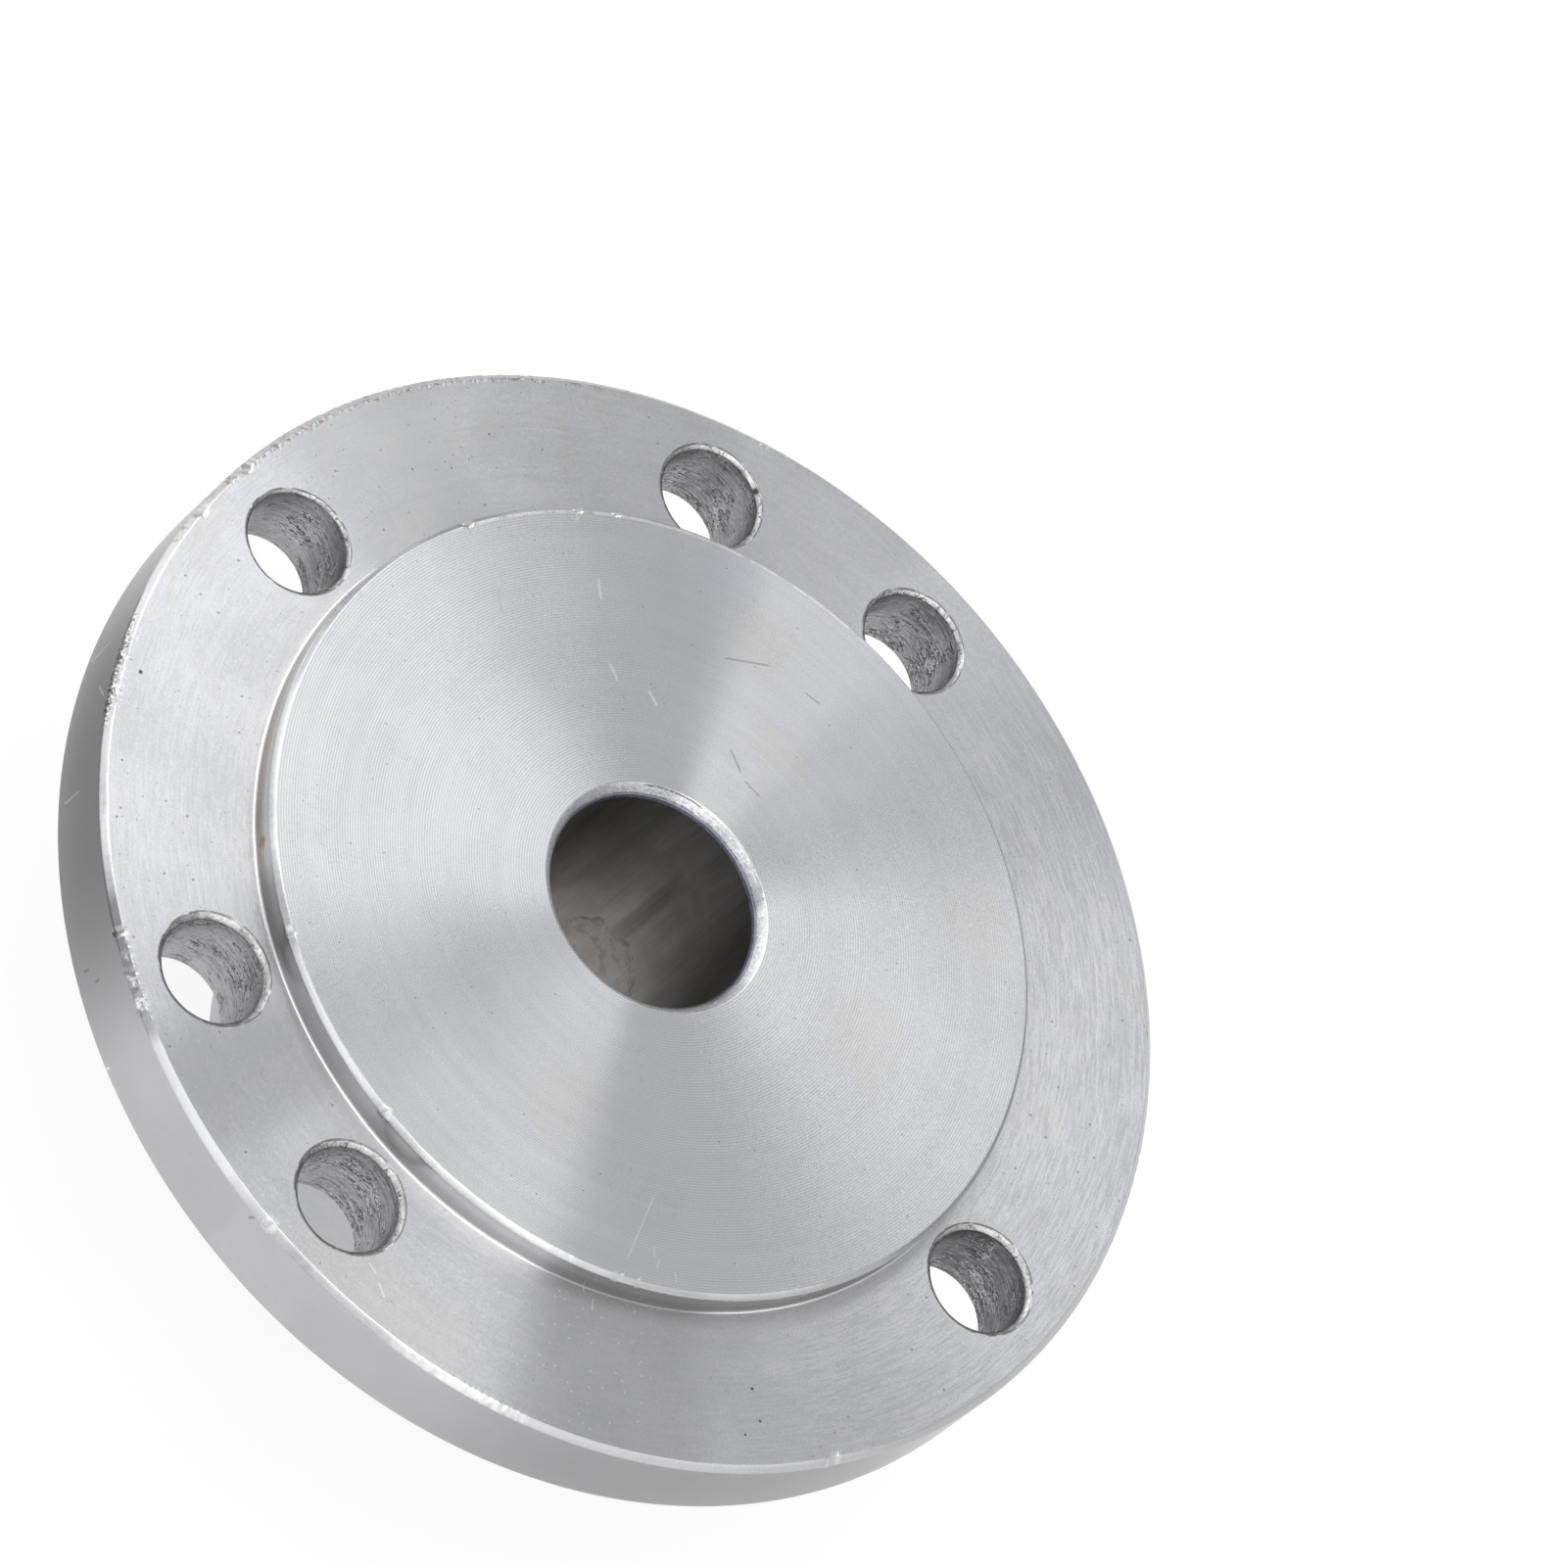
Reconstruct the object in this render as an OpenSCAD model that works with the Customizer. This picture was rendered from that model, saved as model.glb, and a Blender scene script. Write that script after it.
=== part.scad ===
/* [Flange] */
// Thickness of the flange, without the spigot
flange_t = 8.7; // [5:0.1:20]
// Width of the 45 degree chamfer on the flange's front rim
front_rim_chamfer = 0.55; // [0.2:0.05:1.5]
// Width of the 45 degree chamfer on the flange's rear rim
rear_rim_chamfer = 0.55; // [0.2:0.05:1.5]

/* [Spigot] */
// Diameter of the raised spigot that centres the chuck
spigot_d = 72; // [64:0.5:90]
// Height of the spigot above the flange's front face
spigot_h = 3; // [1.5:0.1:8]
// Width of the 45 degree chamfer on the spigot's edge
spigot_chamfer = 0.4; // [0.2:0.05:1]
// Radius left by the tool's nose in the corner at the spigot's foot
spigot_root_r = 0.2; // [0.1:0.05:0.4]

/* [Hub] */
// Diameter of the hub behind the flange
hub_d = 43; // [34:0.5:54]
// Length of the hub behind the flange
hub_l = 29.7; // [12:0.1:60]
// Width of the 45 degree chamfer on the hub's rear edge
hub_chamfer = 0.8; // [0.2:0.1:2]
// Radius of the fillet where the hub meets the flange
hub_root_r = 1; // [0.2:0.1:3]

/* [Bore] */
// Diameter of the plain bore through the plate
bore_d = 19.1; // [10:0.05:24]
// Width of the 45 degree chamfer at the bore's front mouth
bore_front_chamfer = 0.95; // [0.2:0.05:1.4]
// Width of the 45 degree chamfer at the bore's rear mouth
bore_rear_chamfer = 1; // [0.2:0.05:1.4]

/* [Bolt holes] */
// Diameter of each bolt hole
hole_d = 9.2; // [5:0.1:13]
// Metal between the spigot's wall and a bolt hole
hole_to_spigot = 1.4; // [1:0.1:6]
// Metal between a bolt hole and the flange's rim
hole_to_rim = 3.4; // [2.5:0.1:12]
// Width of the 45 degree countersink at each end of a bolt hole
hole_chamfer = 0.3; // [0.1:0.05:0.4]
// Evenly spaced holes for a three-jaw chuck
three_jaw_holes = 3; // [3, 6]
// Evenly spaced holes for a four-jaw chuck
four_jaw_holes = 4; // [2, 4]

/* [Hidden] */
hole_r = hole_d / 2;
spigot_r = spigot_d / 2;
hub_r = hub_d / 2;
bore_r = bore_d / 2;

// The bolt circle clears the spigot, and the flange's rim clears the bolt holes
bolt_circle_r = spigot_r + hole_to_spigot + hole_r;
flange_r = bolt_circle_r + hole_r + hole_to_rim;

// Heights above the hub's rear face, on which the plate stands
flange_rear_z = hub_l;
seat_z = flange_rear_z + flange_t;
spigot_face_z = seat_z + spigot_h;

// The two hole patterns share the bolt circle and the hole on the +X axis
three_jaw_angles = [for (i = [0 : three_jaw_holes - 1]) i * 360 / three_jaw_holes];
four_jaw_angles = [for (i = [0 : four_jaw_holes - 1]) i * 360 / four_jaw_holes];
hole_angles = concat(
    three_jaw_angles,
    [for (a = four_jaw_angles) if (!is_in(a, three_jaw_angles)) a]
);

// Extra length of a cutting tool beyond the face that it cuts
overshoot = 1;

$fn = 120;

function is_in(a, list) = len([for (b = list) if (b == a) b]) > 0;

// Corner fillet in the section: the metal lies below and left of the origin,
// and the free space is above and right of it
module corner_fillet(r) {
    difference() {
        translate([-r, -r]) square(2 * r);
        translate([r, r]) circle(r);
    }
}

// Half section of the turned blank: x is the radius, y is the height
module turned_section() {
    polygon([
        [bore_r + bore_rear_chamfer, 0],
        [hub_r - hub_chamfer, 0],
        [hub_r, hub_chamfer],
        [hub_r, flange_rear_z],
        [flange_r - rear_rim_chamfer, flange_rear_z],
        [flange_r, flange_rear_z + rear_rim_chamfer],
        [flange_r, seat_z - front_rim_chamfer],
        [flange_r - front_rim_chamfer, seat_z],
        [spigot_r, seat_z],
        [spigot_r, spigot_face_z - spigot_chamfer],
        [spigot_r - spigot_chamfer, spigot_face_z],
        [bore_r + bore_front_chamfer, spigot_face_z],
        [bore_r, spigot_face_z - bore_front_chamfer],
        [bore_r, bore_rear_chamfer]
    ]);
    translate([spigot_r, seat_z]) corner_fillet(spigot_root_r);
    translate([hub_r, flange_rear_z]) mirror([0, 1]) corner_fillet(hub_root_r);
}

// Cone that opens a hole of radius r by the width c at height 0, with a straight cut above it
module countersink(r, c) {
    translate([0, 0, -c]) cylinder(r1 = r, r2 = r + c, h = c);
    cylinder(r = r + c, h = overshoot);
}

// One bolt hole on the Z axis, countersunk on both faces of the flange
module bolt_hole() {
    translate([0, 0, flange_rear_z - overshoot])
        cylinder(r = hole_r, h = flange_t + 2 * overshoot);
    translate([0, 0, seat_z]) countersink(hole_r, hole_chamfer);
    translate([0, 0, flange_rear_z]) mirror([0, 0, 1]) countersink(hole_r, hole_chamfer);
}

// Adapter plate, turned in one piece: a hub, a drilled flange and a spigot round one bore
module adapter_plate() {
    color([0.74, 0.75, 0.77])
        difference() {
            rotate_extrude() turned_section();
            for (a = hole_angles)
                translate(bolt_circle_r * [cos(a), sin(a), 0]) bolt_hole();
        }
}

adapter_plate();
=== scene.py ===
# %% [markdown]
# # Chuck adapter plate
# A lathe chuck is bolted to this plate. It is one piece of steel: a hub behind, a flange with six
# bolt holes, a low spigot that centres the chuck, and a plain bore through all of them.
# The solid model gives every size. Here the plate gets the finish that the lathe and the drill
# left on it, and the wear that it has picked up since.

# %% Load the solid model as the frame
import math
import bmesh
import bpy
from mathutils import Matrix, Vector, noise


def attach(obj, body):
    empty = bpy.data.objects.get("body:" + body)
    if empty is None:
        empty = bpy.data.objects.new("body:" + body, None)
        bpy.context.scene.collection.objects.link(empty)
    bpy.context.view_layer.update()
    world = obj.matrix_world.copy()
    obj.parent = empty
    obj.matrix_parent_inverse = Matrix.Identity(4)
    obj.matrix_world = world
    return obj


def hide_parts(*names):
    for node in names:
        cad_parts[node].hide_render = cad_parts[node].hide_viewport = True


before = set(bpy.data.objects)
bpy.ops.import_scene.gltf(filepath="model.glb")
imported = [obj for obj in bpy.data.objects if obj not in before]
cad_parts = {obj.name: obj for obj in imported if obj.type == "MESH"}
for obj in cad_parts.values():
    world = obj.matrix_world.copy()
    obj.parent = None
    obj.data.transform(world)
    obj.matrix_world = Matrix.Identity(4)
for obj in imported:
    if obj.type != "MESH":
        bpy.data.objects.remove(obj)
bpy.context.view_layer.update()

MM = 0.001

# %% [markdown]
# ## The camera
# The plate stands on the end of its hub, and the camera looks down at it from the front. It could
# be aimed with a constraint, but the picture is also rolled about the line of sight, so three plain
# turns are used: the roll about the lens first, then the tilt, then the heading.

# %% Camera
CAMERA_AT = Vector((-38.187, -556.193, 744.940)) * MM
HEADING, TILT, ROLL = math.radians(-3.8769), math.radians(39.2958), math.radians(50.2995)
LENS_MM, SENSOR_MM = 247.25, 36.0

camera = bpy.data.objects.new("camera", bpy.data.cameras.new("camera"))
bpy.context.scene.collection.objects.link(camera)
camera.matrix_world = (Matrix.Translation(CAMERA_AT) @ Matrix.Rotation(HEADING, 4, "Z")
                       @ Matrix.Rotation(TILT, 4, "X") @ Matrix.Rotation(ROLL, 4, "Z"))
camera.data.lens = LENS_MM
camera.data.sensor_width = SENSOR_MM
camera.data.clip_start, camera.data.clip_end = 0.01, 20.0
bpy.context.scene.camera = camera

# %% [markdown]
# ## The blank
# Every surface but the bolt holes was cut while the plate turned, so each is a line spun round the
# axis. The line is drawn as a few points, its corners are rounded with a vertex bevel, and spin
# sweeps it. One long spin slows down as it goes, so a slice is spun first and then copied round.
# Real edges are never quite sharp: even a rounding of 0.06 mm catches the light. A line that ends on
# one of the flange's flat faces runs a little way over it, so that a later step can fill the face
# between open edges that lie flat in it.

# %% Sizes of the plate, in mm
FLANGE_R, HUB_R, SPIGOT_R, BORE_R = 49.98, 21.5, 36.0, 9.55  # the solid's rim is 50, in flats
REAR_Z, SEAT_Z, FACE_Z = 29.7, 38.4, 41.4
RIM_CHAMFER, SPIGOT_CHAMFER, HUB_CHAMFER = 0.55, 0.4, 0.8
BORE_FRONT_CHAMFER, BORE_REAR_CHAMFER = 0.95, 1.0
SPIGOT_ROOT_R, HUB_ROOT_R = 0.2, 1.0
HOLE_R, BOLT_CIRCLE_R, HOLE_REAR_CHAMFER = 4.6, 42.0, 0.3
EDGE_ROUND = 0.06
SLICES = 24


# %% A line of points with rounded corners, spun round an axis
def turned(points, steps, at=(0, 0)):
    """A mesh spun round the upright axis through at. Each point is (radius, height, rounding)."""
    bm = bmesh.new()
    corners = [bm.verts.new(((at[0] + r) * MM, at[1] * MM, z * MM)) for r, z, _ in points]
    for pair in zip(corners, corners[1:]):
        bm.edges.new(pair)
    for corner, (_, _, rounding) in zip(corners, points):
        if rounding:
            bmesh.ops.bevel(bm, geom=[corner], offset=rounding * MM, offset_type="OFFSET",
                            segments=6 if rounding > 0.5 else 4 if rounding > 0.1 else 2,
                            profile=0.5, affect="VERTICES", material=-1)
    way = {"cent": (at[0] * MM, at[1] * MM, 0), "axis": (0, 0, 1)}
    slice_angle = math.tau / SLICES
    bmesh.ops.spin(bm, geom=bm.verts[:] + bm.edges[:], angle=slice_angle,
                   steps=steps // SLICES, **way)
    bmesh.ops.spin(bm, geom=bm.verts[:] + bm.edges[:] + bm.faces[:], use_duplicate=True,
                   angle=math.tau - slice_angle, steps=SLICES - 1, **way)
    bmesh.ops.remove_doubles(bm, verts=bm.verts, dist=0.001 * MM)
    mesh = bpy.data.meshes.new("spun")
    bm.to_mesh(mesh)
    bm.free()
    return mesh


# %% Spin the rim
RIM_STEPS = 1440
cut = RIM_CHAMFER
rim = turned([
    (FLANGE_R - cut - 0.5, SEAT_Z, 0), (FLANGE_R - cut, SEAT_Z, EDGE_ROUND),
    (FLANGE_R - cut * 0.66, SEAT_Z - cut * 0.34, 0), (FLANGE_R - cut * 0.33, SEAT_Z - cut * 0.67, 0),
    (FLANGE_R, SEAT_Z - cut, EDGE_ROUND / 2), (FLANGE_R, SEAT_Z - cut - 0.35, 0),
    (FLANGE_R, SEAT_Z - cut - 0.7, 0), (FLANGE_R, REAR_Z + cut, EDGE_ROUND),
    (FLANGE_R - cut, REAR_Z, EDGE_ROUND), (FLANGE_R - cut - 0.5, REAR_Z, 0),
], RIM_STEPS)
print("rim:", len(rim.vertices), "points")

# %% [markdown]
# The spigot, the bore and the hub are one line, from the corner at the spigot's foot over the face,
# down the bore and back up the hub. The tool's nose leaves a small radius in that corner, and a
# larger one where the hub meets the flange. The bore's edge was broken by hand in two cuts, so a
# second, steeper band is drawn below its chamfer.

# %% Spin the middle
MIDDLE_STEPS = 720
BORE_SECOND_CUT = 0.2
cut, mouth, second = SPIGOT_CHAMFER, BORE_FRONT_CHAMFER, BORE_SECOND_CUT
middle = turned([
    (SPIGOT_R + 0.45, SEAT_Z, 0), (SPIGOT_R, SEAT_Z, SPIGOT_ROOT_R),
    (SPIGOT_R, FACE_Z - cut - 0.5, 0), (SPIGOT_R, FACE_Z - cut - 0.25, 0),
    (SPIGOT_R, FACE_Z - cut, EDGE_ROUND), (SPIGOT_R - cut / 2, FACE_Z - cut / 2, 0),
    (SPIGOT_R - cut, FACE_Z, EDGE_ROUND), (SPIGOT_R - cut - 0.4, FACE_Z, 0),
    (BORE_R + mouth + 0.4, FACE_Z, 0), (BORE_R + mouth, FACE_Z, EDGE_ROUND),
    (BORE_R + second, FACE_Z - mouth + second, EDGE_ROUND),
    (BORE_R, FACE_Z - mouth - second, EDGE_ROUND),
    (BORE_R, BORE_REAR_CHAMFER, EDGE_ROUND), (BORE_R + BORE_REAR_CHAMFER, 0, EDGE_ROUND),
    (HUB_R - HUB_CHAMFER, 0, EDGE_ROUND), (HUB_R, HUB_CHAMFER, EDGE_ROUND),
    (HUB_R, REAR_Z, HUB_ROOT_R), (HUB_R + HUB_ROOT_R + 0.5, REAR_Z, 0),
], MIDDLE_STEPS)
print("middle:", len(middle.vertices), "points")

# %% [markdown]
# The bolt holes were drilled and countersunk by hand, and no two countersinks are as wide. Each
# hole is the same line spun round its own centre, with its own width.

# %% Spin the six holes
HOLE_STEPS = 144
COUNTERSINKS = {0: 0.38, 90: 0.32, 120: 0.3, 180: 0.24, 240: 0.42, 270: 0.4}
hole_at = {degrees: (BOLT_CIRCLE_R * math.cos(math.radians(degrees)),
                     BOLT_CIRCLE_R * math.sin(math.radians(degrees))) for degrees in COUNTERSINKS}
holes = []
for degrees, width in COUNTERSINKS.items():
    holes.append(turned([
        (HOLE_R + width + 0.25, SEAT_Z, 0), (HOLE_R + width, SEAT_Z, EDGE_ROUND),
        (HOLE_R + width / 2, SEAT_Z - width / 2, 0), (HOLE_R, SEAT_Z - width, EDGE_ROUND),
        (HOLE_R, SEAT_Z - width - 0.25, 0), (HOLE_R, SEAT_Z - width - 0.5, 0),
        (HOLE_R, REAR_Z + HOLE_REAR_CHAMFER, EDGE_ROUND),
        (HOLE_R + HOLE_REAR_CHAMFER, REAR_Z, EDGE_ROUND),
        (HOLE_R + HOLE_REAR_CHAMFER + 0.2, REAR_Z, 0),
    ], HOLE_STEPS, hole_at[degrees]))
print("holes:", sum(len(mesh.vertices) for mesh in holes), "points")

# %% [markdown]
# ## Worn edges
# The chamfers are not even: the file ran unevenly, the rim was knocked, and at one place its edge
# has crumbled into small teeth. A displacement texture would move the whole surface, so only the
# points of each chamfer are moved, always into the metal: its upper line inwards, its lower line
# down, and both where there is a bite.

# %% Join the parts
bm = bmesh.new()
for mesh in [rim, middle, *holes]:
    bm.from_mesh(mesh)
    bpy.data.meshes.remove(mesh)


# %% Make a chamfer uneven
def wear(corner_r, top, width, uneven, at=(0, 0), side=1, bites=()):
    """Move the points of the chamfer that was cut from the corner at that radius and height.

    side is 1 where the metal is inside the radius and -1 where it is outside. A bite is
    (direction, half width, depth): degrees, degrees, mm. The narrow ones are clean nicks.
    """
    moved = 0
    for vert in bm.verts:
        x, y, z = vert.co / MM
        r = math.hypot(x - at[0], y - at[1])
        inward, down = side * (corner_r - r), top - z
        if inward < -0.01 or down < -0.01 or inward + down > width + 0.12:
            continue
        lower = min(down / width, 1.0)
        place = Vector((x, y, 0))
        wide = uneven * (1 + noise.noise(place * 0.7) + 0.4 * noise.noise(place * 2.1)) / 2
        deep = 0.0
        angle = math.degrees(math.atan2(y - at[1], x - at[0]))
        for direction, half, depth in bites:
            off = abs((angle - direction + 180) % 360 - 180) / half
            if off < 1:
                lump = 1.0 if half < 1 else max(0.0, 0.25 + 1.5 * noise.noise(place * 3.1))
                deep += depth * lump * min(1.0, 2 - 2 * off)
        inward_move = wide * (1 - lower) + deep * 0.8
        down_move = wide * lower + deep * (0.3 + 0.6 * lower)
        keep = (r - side * inward_move) / r
        vert.co.x = (at[0] + (x - at[0]) * keep) * MM
        vert.co.y = (at[1] + (y - at[1]) * keep) * MM
        vert.co.z = (z - down_move) * MM
        moved += 1
    return moved


# %% Wear the rim, the spigot, the bore and the countersinks
RIM_BITES = [(207, 6.5, 0.16), (178.6, 0.7, 0.35), (172, 12, 0.09), (150, 14, 0.06), (186, 0.8, 0.12),
             (235, 0.4, 0.08), (240, 5.5, 0.05),
             (266.5, 0.6, 0.08), (289, 9, 0.04), (331, 0.8, 0.2),
             (20, 12, 0.03), (75, 10, 0.04), (110, 14, 0.06)]
SPIGOT_BITES = [(160, 0.7, 0.25), (142, 0.8, 0.2), (136, 0.6, 0.2), (265, 0.6, 0.12),
                (238, 0.6, 0.08), (305, 3, 0.05), (330, 6, 0.04), (185, 6, 0.03)]
print("rim:", wear(FLANGE_R, SEAT_Z, RIM_CHAMFER, 0.035, bites=RIM_BITES), "points moved")
print("spigot:", wear(SPIGOT_R, FACE_Z, SPIGOT_CHAMFER, 0.04, bites=SPIGOT_BITES), "points moved")
print("bore:", wear(BORE_R, FACE_Z, BORE_FRONT_CHAMFER, 0.04, side=-1), "points moved")
for degrees, width in COUNTERSINKS.items():
    wear(HOLE_R, SEAT_Z, width, 0.07, at=hole_at[degrees], side=-1, bites=[(200 - degrees, 20, 0.04)])

# %% [markdown]
# ## The flange's two faces
# Each face of the flange is a flat ring with six holes. Drilling it with a Boolean would leave long
# thin faces along the rounded edges. Filling between the open edges of the spun parts is cleaner,
# and the faces stay exactly flat.

# %% Fill the two flat faces
for height, up in ((SEAT_Z, 1), (REAR_Z, -1)):
    rims = [edge for edge in bm.edges if edge.is_boundary
            and all(abs(v.co.z - height * MM) < 0.001 * MM for v in edge.verts)]
    bmesh.ops.triangle_fill(bm, use_beauty=True, use_dissolve=False, edges=rims, normal=(0, 0, up))
bmesh.ops.recalc_face_normals(bm, faces=bm.faces)
print("open edges:", sum(not edge.is_manifold for edge in bm.edges))
print("volume, mm3:", round(bm.calc_volume() / MM**3))

# %% [markdown]
# ## Which tool cut each face
# The finish follows the tool: faced flat, turned round, bored, drilled or filed. Where a face lies
# and which way it points say which it was.

# %% Sort the faces by tool
(SPIGOT_FACE, SEAT_FACE, REAR_FACE, RIM_WALL, SPIGOT_WALL, HUB_WALL, CHAMFER, COUNTERSINK, BORED,
 DRILLED) = range(10)


def tool_of(face):
    """The finish of a face, from where it is and which way it points."""
    at, n = face.calc_center_median() / MM, face.normal
    r = math.hypot(at.x, at.y)
    if r < BORE_R + 0.03:
        return BORED
    if n.z > 0.9:
        return SPIGOT_FACE if at.z > FACE_Z - 0.1 else SEAT_FACE
    if n.z < -0.9:
        return REAR_FACE
    if SPIGOT_R + 0.6 < r < FLANGE_R - 1.0:
        return DRILLED if abs(n.z) < 0.1 else COUNTERSINK
    if abs(n.z) < 0.1:
        return RIM_WALL if r > SPIGOT_R + 1 else SPIGOT_WALL if r > HUB_R + 1 else HUB_WALL
    return SPIGOT_WALL if r > SPIGOT_R and at.z < FACE_Z - 1 and r < SPIGOT_R + 1 else CHAMFER


for face in bm.faces:
    face.material_index = tool_of(face)
    face.smooth = face.material_index not in (SPIGOT_FACE, SEAT_FACE, REAR_FACE)

# %% Make the plate
plate_mesh = bpy.data.meshes.new("turned_plate")
bm.to_mesh(plate_mesh)
bm.free()
plate = bpy.data.objects.new("turned_plate", plate_mesh)
bpy.context.scene.collection.objects.link(plate)
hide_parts("adapter_plate")
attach(plate, "root")
print("plate:", sum(len(p.vertices) - 2 for p in plate_mesh.polygons), "triangles")

# %% [markdown]
# ## Shader sums in Python
# A finish is a sum of masks. Wiring Math nodes by hand hides the sum, so a small class wraps a
# socket and turns each Python operator into one Math node.


# %% A socket that can be added, multiplied and compared
class Value:
    """One output of a material's node tree, usable in sums."""

    def __init__(self, finish, socket):
        self.finish, self.socket = finish, socket

    def math(self, operation, *others):
        return self.finish.node("ShaderNodeMath", {"operation": operation},
                                dict(enumerate((self, *others))))

    def __add__(self, other): return self.math("ADD", other)
    def __sub__(self, other): return self.math("SUBTRACT", other)
    def __mul__(self, other): return self.math("MULTIPLY", other)
    def __truediv__(self, other): return self.math("DIVIDE", other)
    __radd__, __rmul__ = __add__, __mul__

    def __rsub__(self, other):
        return self.finish.node("ShaderNodeMath", {"operation": "SUBTRACT"}, {0: other, 1: self})

    def size(self):
        return self.math("ABSOLUTE")

    def wave(self):
        return self.math("SINE")

    def most(self, other):
        return self.math("MAXIMUM", other)

    def above(self, low, high):
        """0 below low and 1 above high, with a smooth step between them."""
        return self.finish.node("ShaderNodeMapRange", {"interpolation_type": "SMOOTHSTEP"},
                                {"Value": self, "From Min": low, "From Max": high})

    def below(self, low, high):
        """1 below low and 0 above high, with a smooth step between them."""
        return self.finish.node("ShaderNodeMapRange", {"interpolation_type": "SMOOTHSTEP"},
                                {"Value": self, "From Min": low, "From Max": high,
                                 "To Min": 1.0, "To Max": 0.0})

    def dot(self, direction):
        return self.finish.node("ShaderNodeVectorMath", {"operation": "DOT_PRODUCT"},
                                {0: self, 1: direction}, "Value")

    def distance(self, point):
        return self.finish.node("ShaderNodeVectorMath", {"operation": "DISTANCE"},
                                {0: self, 1: point}, "Value")


# %% A material with short ways to make its nodes
class Finish:
    """A material of the plate or the stage. Its place is the Object coordinates, in mm."""

    def __init__(self, name):
        self.material = bpy.data.materials.new(name)
        self.material.use_nodes = True
        self.tree = self.material.node_tree
        self.shader = self.tree.nodes["Principled BSDF"]
        metres = self.node("ShaderNodeTexCoord", output="Object")
        self.place = self.node("ShaderNodeVectorMath", {"operation": "SCALE"},
                               {0: metres, "Scale": 1 / MM})
        self.x, self.y, self.z = (self.node("ShaderNodeSeparateXYZ", {}, {0: self.place}, axis)
                                  for axis in "XYZ")
        self.flat = self.vector(self.x, self.y, 0)
        self.r = self.flat.distance((0, 0, 0))
        self.out_x, self.out_y = self.x / self.r, self.y / self.r
        self.out = self.vector(self.out_x, self.out_y, 0)

    def node(self, kind, settings=None, inputs=None, output=0):
        made = self.tree.nodes.new(kind)
        for name, value in (settings or {}).items():
            setattr(made, name, value)
        for name, value in (inputs or {}).items():
            self.put(made.inputs[name], value)
        return Value(self, made.outputs[output])

    def put(self, socket, value):
        if isinstance(value, Value):
            self.tree.links.new(value.socket, socket)
        elif isinstance(value, tuple) and socket.type == "RGBA":
            socket.default_value = (*value[:3], 1)
        else:
            socket.default_value = value

    def set(self, **inputs):
        for name, value in inputs.items():
            self.put(self.shader.inputs[name.replace("_", " ")], value)

    def vector(self, x, y, z):
        return self.node("ShaderNodeCombineXYZ", {}, {0: x, 1: y, 2: z})

    def noise(self, where, scale, detail=2.0, roughness=0.5):
        """Soft noise from 0 to 1, with about scale lumps to a mm."""
        return self.node("ShaderNodeTexNoise", {},
                         {"Vector": where, "Scale": scale, "Detail": detail, "Roughness": roughness})

    def round_the_axis(self, length, across, pitch):
        """A place in which noise is drawn out along the turning marks: length mm long, pitch wide."""
        turns = 45.0 / length
        return self.vector(self.out_x * turns, self.out_y * turns, across * (1 / pitch))

    def sector(self, degrees, half, soft):
        """1 within half degrees of that direction round the axis, falling to 0 over soft degrees."""
        way = (math.cos(math.radians(degrees)), math.sin(math.radians(degrees)), 0)
        return self.out.dot(way).above(math.cos(math.radians(half + soft)),
                                       math.cos(math.radians(half)))

    def tint(self, factor, below, above):
        """A colour from below to above, by factor."""
        return self.node("ShaderNodeMix", {"data_type": "RGBA"}, {0: factor, 6: below, 7: above}, 2)

    def bump(self, height, microns):
        """The normal of a relief: a height of 1 stands up by that many microns."""
        return self.node("ShaderNodeBump", {}, {"Strength": 1.0, "Distance": microns * 1e-6,
                                                "Height": height})

    # marks, each a mask: 1 on the mark and 0 beside it

    def flecks(self, spacing, radius, share, where=None):
        """Small round flecks of that radius, in a share of cells that are spacing wide, in mm.

        The cells are flat: they lie over x and y of where.
        """
        flat = {"voronoi_dimensions": "2D"}
        cell = {"Vector": where or self.place, "Scale": 1 / spacing}
        near = self.node("ShaderNodeTexVoronoi", flat, cell, "Distance") * spacing
        draw = self.node("ShaderNodeTexVoronoi", flat, cell, "Color").dot((1, 0, 0))
        return near.below(radius * 0.5, radius) * draw.above(1 - share, 1 - share + 0.01)

    def strokes(self, degrees, length, width, rarity):
        """Thin straight strokes in one direction on a flat face. Rarity is 0.6 for many, 0.8 for few."""
        cos, sin = math.cos(math.radians(degrees)), math.sin(math.radians(degrees))
        where = self.vector(self.place.dot((cos / length, sin / length, 0)),
                            self.place.dot((-sin / width, cos / width, 0)), degrees)
        return self.noise(where, 1.0, 0.0).above(rarity, rarity + 0.04)

    def scratch(self, start, end, width, up=(0, 0, 1)):
        """A thin straight line from start to end, in mm, on a face that points up."""
        start, end = Vector(start), Vector(end)
        middle, along = (start + end) / 2, (end - start).normalized()
        across = along.cross(Vector(up))
        off = (self.place.dot(tuple(across)) - middle.dot(across)).size()
        on = (self.place.dot(tuple(along)) - middle.dot(along)).size()
        half = (end - start).length / 2
        return off.below(width * 0.3, width * 0.7) * on.below(half * 0.8, half * 1.1)

    def spot(self, point, radius, edge=0.0):
        """A soft patch round a point, in mm; edge is noise that makes it ragged."""
        return (self.place.distance(point) + edge).below(radius * 0.3, radius)


# %% Steel colours
SOOT, BROWN, PIT = (0.07, 0.07, 0.075), (0.20, 0.13, 0.07), (0.24, 0.22, 0.19)
# The near-white colour below is bright metal where scratched or chipped, and also a painted highlight at
# the spigot face's far edge.
WARM, BLUE, FRESH_METAL_AND_HIGHLIGHT = (0.60, 0.58, 0.53), (0.57, 0.59, 0.66), (0.90, 0.89, 0.90)
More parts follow.
